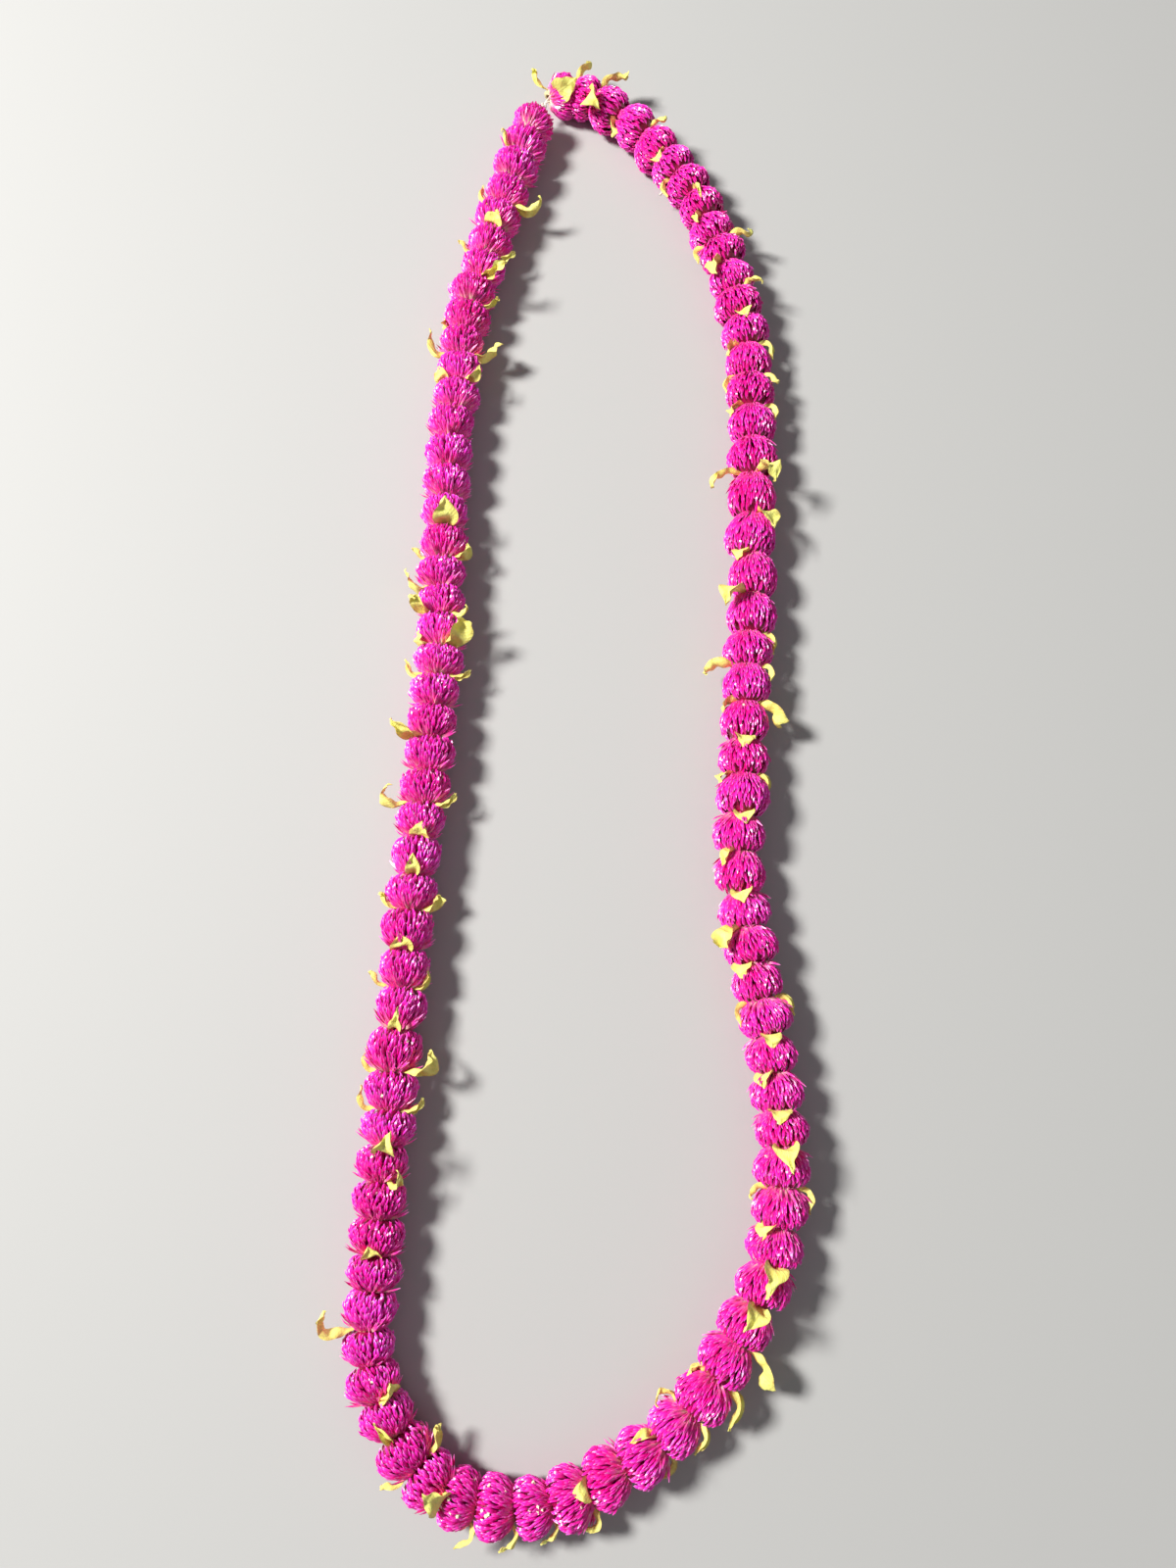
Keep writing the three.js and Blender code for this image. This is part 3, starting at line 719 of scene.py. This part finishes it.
# The leafy bracts of each head. The first letter is its side: i inside, j inside and up, t on
# top, p outside and up, o outside, and a capital for a large one. The second is how it has
# dried: a arched, b broad, c capping, d drawn out, f flicked back, h hooked, k forked, l lying,
# s standing out sideways. A dot is a head without any.
LEAVES = """
  Jb,pf Of Jh,Ok ic pf jc ia ta jl ia,Of Jl ps tc ic,oa ia,of ic,oa . Is,Ph Pb jc Jh oa Is,oa
  Ok,ic tc ic,oa tc jl tc Jk jc ia,oa tc jc tc Td is,oa jc Td Th Ok Oa,ic ih,oa jl,oa . oh,jc
  ol ol ol Tb If,of ta jc . Oh . tc . jh Th oa,is oa,Ih td of,ia tc of,ik tb tc Oh,is . Ps .
  oa,is Jk,oc Pf,is Ob of,jh Tb . . . . jh,oc Oa,Ik oc if Js of,is tc oa,Is . pf .""".split()
LEAF_DEGREES = {"i": 8, "j": 48, "t": 88, "p": 130, "o": 170}
LEAF_THICK = 0.28
LEAF_COLUMNS = 12
# The last column of a leaf's root, which stays flat between the heads.
ROOT_COLUMNS = 3
# Where a leaf is less wide than this share of its widest, its edges roll in less.
FULL_ROLL = 0.8
# Half its width at each column, as a share of the widest, for each outline.
OVAL = (0.16, 0.2, 0.3, 0.5, 0.78, 0.96, 1.0, 0.94, 0.8, 0.6, 0.4, 0.22, 0.03)
SQUARE = (0.16, 0.22, 0.3, 0.45, 0.66, 0.86, 1.0, 1.0, 0.84, 0.56, 0.34, 0.17, 0.03)
BROAD_BASED = (0.16, 0.28, 0.45, 0.7, 0.92, 1.0, 1.0, 0.94, 0.78, 0.56, 0.36, 0.18, 0.03)
DRAWN_OUT = (0.2, 0.3, 0.42, 0.6, 0.84, 1.0, 0.95, 0.7, 0.42, 0.28, 0.2, 0.13, 0.03)
FORKED = (0.18, 0.24, 0.36, 0.55, 0.75, 0.88, 0.95, 1.0, 1.0, 0.92, 0.8, 0.78, 0.85)


def model_leaf(name, turn, length, half, outline, bends, fold, roll, waves, twist, notch):
    """A leafy bract from the thread out along +Z, then forward along +X. The bends are the
    degrees that it turns forward at each column, the roll is how far its edges curl in."""
    bpy.ops.object.select_all(action="DESELECT")
    bpy.ops.mesh.primitive_grid_add(x_subdivisions=LEAF_COLUMNS, y_subdivisions=4, size=2 * MM)
    leaf = bpy.context.object
    leaf.name = name
    bpy.ops.object.mode_set(mode="EDIT")
    bpy.ops.mesh.select_mode(type="VERT")
    bpy.ops.mesh.select_all(action="SELECT")
    bpy.ops.transform.resize(value=(length / 2, half, 1), center_override=(0, 0, 0))
    bpy.ops.transform.translate(value=(length * MM / 2, 0, 0))
    spacing = length * MM / LEAF_COLUMNS
    for column, share in enumerate(outline):
        at = column * spacing
        choose(leaf, lambda spot: abs(spot.x - at) < spacing / 3)
        bpy.ops.transform.resize(value=(1, share, 1), center_override=(0, 0, 0))
        for side in (-1, 1):
            hinge = 0.5 * half * share * MM * side
            choose(leaf, lambda spot: abs(spot.x - at) < spacing / 3
                   and spot.y * side > 1.5 * abs(hinge))
            bpy.ops.transform.rotate(value=-math.radians(roll * min(share, FULL_ROLL)) * side,
                                     orient_axis="X", center_override=(at, hinge, 0))
    # A forked leaf's tip is notched in the middle.
    choose(leaf, lambda spot: spot.x > (LEAF_COLUMNS - 0.5) * spacing and abs(spot.y) < 1e-5)
    bpy.ops.transform.translate(value=(-notch * MM, 0, 0))
    for side in (-1, 1):
        choose(leaf, lambda spot: spot.y * side > 0.02 * MM)
        bpy.ops.transform.rotate(
            value=-math.radians(fold) * side, orient_axis="X", center_override=(0, 0, 0))
    choose(leaf, lambda spot: spot.x > (ROOT_COLUMNS + 0.5) * spacing)
    bpy.ops.transform.vertex_random(
        offset=waves * MM, uniform=0.3, normal=1.0, seed=3 + 7 * turn)
    for column in range(LEAF_COLUMNS - 1, -1, -1):
        at = column * spacing
        choose(leaf, lambda spot: spot.x > at + spacing / 3)
        bpy.ops.transform.rotate(
            value=-math.radians(bends[column]), orient_axis="Y", center_override=(at, 0, 0))
        if column > ROOT_COLUMNS:
            bpy.ops.transform.rotate(value=math.radians(twist * (1 - 2 * turn)),
                                     orient_axis="X", center_override=(at, 0, 0))
    bpy.ops.object.mode_set(mode="OBJECT")
    for kind, settings in (
            ("SOLIDIFY", {"thickness": LEAF_THICK * MM, "offset": 0, "material_offset": 1}),
            ("SUBSURF", {"levels": 1, "render_levels": 1})):
        modifier = leaf.modifiers.new(kind, kind)
        for key, value in settings.items():
            setattr(modifier, key, value)
        bpy.ops.object.modifier_apply(modifier=modifier.name)
    bpy.ops.object.shade_smooth_by_angle(angle=math.radians(60))
    return leaf


LYING = (-90, 0, 2, 6, 10, 16, 20, 16, 10, 4, -4, -8)
# Each way of drying: length, half width, outline, bends, fold, roll, waves, twist and notch.
LEAF_KINDS = {
    "a": (16, 3.4, OVAL, (-90, 4, 6, 8, 12, 16, 18, 16, 10, 4, -10, -30), 62, 0, 1.1, 4, 0),
    "b": (15, 4.9, OVAL, LYING, 10, 22, 1.1, 2, 0),
    "c": (12.6, 7.2, BROAD_BASED, (-90, 0, 0, 2, 4, 8, 20, 38, 20, 4, 0, -6), 3, 24, 1.3, 3, 0),
    "d": (16, 4.9, DRAWN_OUT, LYING, 18, 30, 1.2, 2, 0),
    "f": (17, 3.1, OVAL, (-90, 4, 8, 12, 16, 14, 8, -4, -24, -44, -56, -60), 36, 45, 1.2, 6, 0),
    "h": (17, 4.4, SQUARE, (-90, 2, 2, 3, 3, 4, 8, 24, 40, 30, 10, -6), 12, 55, 1.5, -4, 0),
    "k": (15, 4.2, FORKED, (-90, 4, 6, 8, 12, 16, 14, 8, 4, -6, -14, -20), 24, 30, 1.5, -6, 3),
    "l": (15, 3.8, OVAL, LYING, 22, 30, 1.1, -3, 0),
    "s": (15, 3.8, OVAL, (-90, 2, 3, 4, 5, 6, 6, 6, 8, 14, 30, 44), 28, 70, 1.4, 8, 0),
}
RISING = "hks"
leaf_patterns = {
    letter: [model_leaf(f"leaf_{letter}_{turn}", turn, *kind) for turn in (0, 1)]
    for letter, kind in LEAF_KINDS.items()}


STALK_RADIUS = 1.5
# How the stalk's top flares, in steps from its end: how far along in mm, and how much wider.
STALK_FLARE = ((-0.3, 1.25), (0.4, 1.4), (0.5, 1.15), (0.3, 0.8))


def model_stalk():
    """The stalk's top that is left under each head: a short tube, flared where it holds it."""
    bpy.ops.object.select_all(action="DESELECT")
    bpy.ops.mesh.primitive_cylinder_add(
        vertices=14, radius=STALK_RADIUS * MM, depth=HEAD_LENGTH * MM,
        location=(HEAD_LENGTH * MM / 2, 0, 0), rotation=(0, math.pi / 2, 0))
    stalk = bpy.context.object
    stalk.name = "stalk_pattern"
    bpy.ops.object.transform_apply(location=True, rotation=True)
    bpy.ops.object.mode_set(mode="EDIT")
    bpy.ops.mesh.select_mode(type="FACE")
    bpy.ops.mesh.select_all(action="DESELECT")
    faces = bmesh.from_edit_mesh(stalk.data)
    for face in faces.faces:
        face.select_set(face.calc_center_median().x < 0.01 * MM)
    bmesh.update_edit_mesh(stalk.data)
    for along, wider in STALK_FLARE:
        bpy.ops.mesh.extrude_region_move(TRANSFORM_OT_translate={"value": (along * MM, 0, 0)})
        bpy.ops.transform.resize(value=(1, wider, wider), center_override=(0, 0, 0))
    bpy.ops.mesh.select_all(action="SELECT")
    bpy.ops.mesh.normals_make_consistent(inside=False)
    bpy.ops.object.mode_set(mode="OBJECT")
    bpy.ops.object.shade_smooth_by_angle(angle=math.radians(40))
    return stalk


stalk = model_stalk()

# The leaves are a mottled yellow-green, with a raised midrib and slanting veins, and browner
# at the edges: dry, fresh and edge colours for the face and for the underside. The underside's
# colours are much darker, partly its own duller tone and partly painted shade.
for name, dry, fresh, edge in (
        ("leafy_bract", (0.96, 0.80, 0.17), (1.0, 1.0, 0.26), (0.55, 0.30, 0.08)),
        ("leafy_bract_underside", (0.52, 0.39, 0.09), (0.96, 0.87, 0.22), (0.32, 0.18, 0.05))):
    material, tree, shader = new_material(name)
    spot = add_node(tree, "ShaderNodeSeparateXYZ",
                    Vector=add_node(tree, "ShaderNodeTexCoord").outputs["UV"])
    off_rib = add_math(tree, "ABSOLUTE", add_math(tree, "SUBTRACT", spot.outputs["Y"], 0.5))
    slant = add_math(tree, "MULTIPLY_ADD", off_rib, -0.5, spot.outputs["X"])
    off_vein = add_math(tree, "PINGPONG", slant, 0.04)
    ribs = add_math(tree, "MAXIMUM", add_range(tree, off_vein, (0.0, 0.012), (1.0, 0.0)),
                    add_range(tree, off_rib, (0.0, 0.05), (1.0, 0.0)))
    colour = add_mix(tree, add_mottle(tree, 260.0, 3.0), dry, fresh)
    fresher = add_math(
        tree, "MULTIPLY_ADD", add_mottle(tree, 75.0, 3.0), 0.9, -0.1, clamp=True)
    colour = add_mix(tree, fresher, colour, fresh)
    rim = add_range(tree, off_rib, (0.38, 0.5), (0.0, 0.7))
    worn = add_math(tree, "MULTIPLY", rim, add_mottle(tree, 420.0, 5.0))
    colour = add_mix(tree, worn, colour, edge)
    lighter = add_math(tree, "MULTIPLY", ribs, 0.25)
    colour = add_mix(tree, lighter, colour, (0.90, 0.84, 0.42))
    relief = add_math(tree, "MULTIPLY_ADD", add_mottle(tree, 800.0, 2.5), 2.0, ribs)
    finish_surface(tree, shader, colour, 0.55, relief, depth=0.12)
    for pattern in sum(leaf_patterns.values(), []):
        pattern.data.materials.append(material)
flesh, tree, shader = new_material("stalk")
colour = add_mix(tree, add_mottle(tree, 500.0, 3.0), (0.62, 0.58, 0.22), (0.88, 0.80, 0.50))
finish_surface(tree, shader, colour, 0.5)
stalk.data.materials.append(flesh)

# The heads' lowest bracts stand in a ring, each neck turned on from the one before it, and a
# leaf comes out in an opening between two of them.
BRACTS_ROUND = 7
FIRST_TIER = 0.3
NECK_TURN = 1.5
LEAF_ANGLE_SWING = 7
LEAF_SIZE_SWING = 0.1
# A head's second leaf is drawn with the number after its first leaf's.
DRAW_ANGLE, DRAW_LENGTH, DRAW_HALF, DRAW_TURN = 10, 12, 14, 31
# A leaf's root, along the head and out from the thread, and where it turns over the head.
LEAF_ROOT = (1.1, 1.4)
LEAF_TURN_RADIUS = 6.2
# How much of its head's length a leaf can't use.
LEAF_NEEDS = 5.1
LEAF_HALF = 0.82
# How far a leaf reaches in mm, how many degrees it lifts, and its size along, across and out.
LARGE = (9.5, 27, (1.05, 1.3, 1.08))
SMALL = (7.5, 14, (0.78, 0.68, 0.9))
# How far out a large one of the kinds that rise grows.
LARGE_RISEN = 1.25


def leaf_angles(head, neck):
    """The angles round the thread of a head's leaves, in the openings between its lowest
    bracts, and how its neck is turned. 0 is the inside of the loop and a quarter turn is up."""
    step = 2 * math.pi / BRACTS_ROUND
    sides = [leaf[0].lower() for leaf in LEAVES[head].split(",") if leaf != "."]
    wanted = [
        math.radians(LEAF_DEGREES[side]
                     + LEAF_ANGLE_SWING * swing(head, DRAW_ANGLE + order)) / step
        for order, side in enumerate(sides)]
    if not wanted:
        return [], neck
    middle = 0.5 + 0.5 * LEAF_ROOT[0] / (FIRST_TIER * (bases[head + 1] - bases[head]))
    off = wanted[0] - middle - neck
    neck += off - math.floor(off + 0.5)
    angles = [(math.floor(want - middle - neck + 0.5) + middle + neck) * step for want in wanted]
    return angles, neck


def leaf_place(head, order, angle, large, rising):
    """Where a leaf grows: round its head's neck, and raised if its head is too short for it."""
    reach, lift, (along, across, out) = LARGE if large else SMALL
    if large and rising:
        out = LARGE_RISEN
    room = bases[head + 1] - bases[head] - LEAF_NEEDS
    length = reach * (1 + LEAF_SIZE_SWING * swing(head, DRAW_LENGTH + order))
    lift = math.radians(lift)
    raised = max(lift, math.acos(min(room / length, 1))) - lift
    half = LEAF_HALF * (1 + LEAF_SIZE_SWING * swing(head, DRAW_HALF + order))
    turn = Vector((LEAF_ROOT[0] * MM, 0, LEAF_TURN_RADIUS * MM))
    return (on_thread(bases[head]) @ Matrix.Rotation(math.pi / 2 - angle, 4, "X")
            @ Matrix.Translation(turn) @ Matrix.Rotation(-raised, 4, "Y")
            @ Matrix.Translation(-turn)
            @ Matrix.Translation(Vector((LEAF_ROOT[0] * MM, 0, LEAF_ROOT[1] * MM)))
            @ Matrix.Diagonal((along, across * half, out, 1)))


# A stalk's top is nearly as long as its head.
STALK_SHARE = 0.96
neck = -NECK_TURN
for group, heads in enumerate(groups, 1):
    parts = []
    for head in heads:
        angles, neck = leaf_angles(head, neck + NECK_TURN)
        for order, (leaf, angle) in enumerate(zip(LEAVES[head].split(","), angles)):
            side, kind = leaf
            pattern = leaf_patterns[kind][swing(head, DRAW_TURN + order) > 0]
            parts.append(copy_of(
                pattern, leaf_place(head, order, angle, side.isupper(), kind in RISING)))
        length = bases[head + 1] - bases[head]
        stretch = Matrix.Diagonal((STALK_SHARE * length / HEAD_LENGTH, 1, 1, 1))
        parts.append(copy_of(stalk, on_thread(bases[head]) @ stretch))
    piece = join_pieces(f"amaranth_leaves_{group:02d}", parts)
    press_on_surface(piece)
    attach(piece, "root")
    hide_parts(f"leafy_bracts_{group:02d}")
for spare in [*sum(leaf_patterns.values(), []), stalk]:
    bpy.data.objects.remove(spare)

# ---- The surface, the light and the camera -----------------------------------------------
# A pale seamless sheet under soft studio lamps, seen from above the lei's near half and
# looking down steeply along it.

bpy.ops.object.select_all(action="DESELECT")
bpy.ops.mesh.primitive_plane_add(size=6, location=(0, 0, 0))
floor = bpy.context.object
floor.name = "pale_floor"
sheet, tree, shader = new_material("pale_sheet")
finish_surface(tree, shader, (0.49, 0.49, 0.48, 1), 0.75)
floor.data.materials.append(sheet)

for name, spot, size, watts, tint in (
        ("key_lamp", (-1.35, 0.40, 1.5), 0.42, 71.0, (1.0, 0.985, 0.96)),
        ("fill_lamp", (1.0, -0.9, 1.3), 1.4, 2.5, (0.95, 0.97, 1.0))):
    lamp = bpy.data.lights.new(name, "AREA")
    lamp.size = size
    lamp.energy = watts
    lamp.color = tint
    stand_in = bpy.data.objects.new(name, lamp)
    stand_in.location = spot
    stand_in.rotation_euler = (-Vector(spot)).to_track_quat("-Z", "Y").to_euler()
    bpy.context.scene.collection.objects.link(stand_in)

world = bpy.data.worlds.new("studio")
world.use_nodes = True
sky = world.node_tree.nodes["Background"]
sky.inputs["Color"].default_value = (0.95, 0.97, 1.0, 1)
sky.inputs["Strength"].default_value = 0.16
bpy.context.scene.world = world
bpy.context.scene.view_settings.view_transform = "Standard"

# The camera's place in metres, how far it looks down in degrees, and its lens in mm.
CAMERA_AT = (0.0050, -0.1326, 0.430)
CAMERA_TILT = 76.5
SENSOR_WIDTH = 36
FOCAL_LENGTH = 27.05
lens = bpy.data.cameras.new("camera")
lens.sensor_width = SENSOR_WIDTH
lens.lens = FOCAL_LENGTH
camera = bpy.data.objects.new("camera", lens)
camera.location = CAMERA_AT
camera.rotation_euler = (math.radians(90 - CAMERA_TILT), 0, 0)
bpy.context.scene.collection.objects.link(camera)
bpy.context.scene.camera = camera
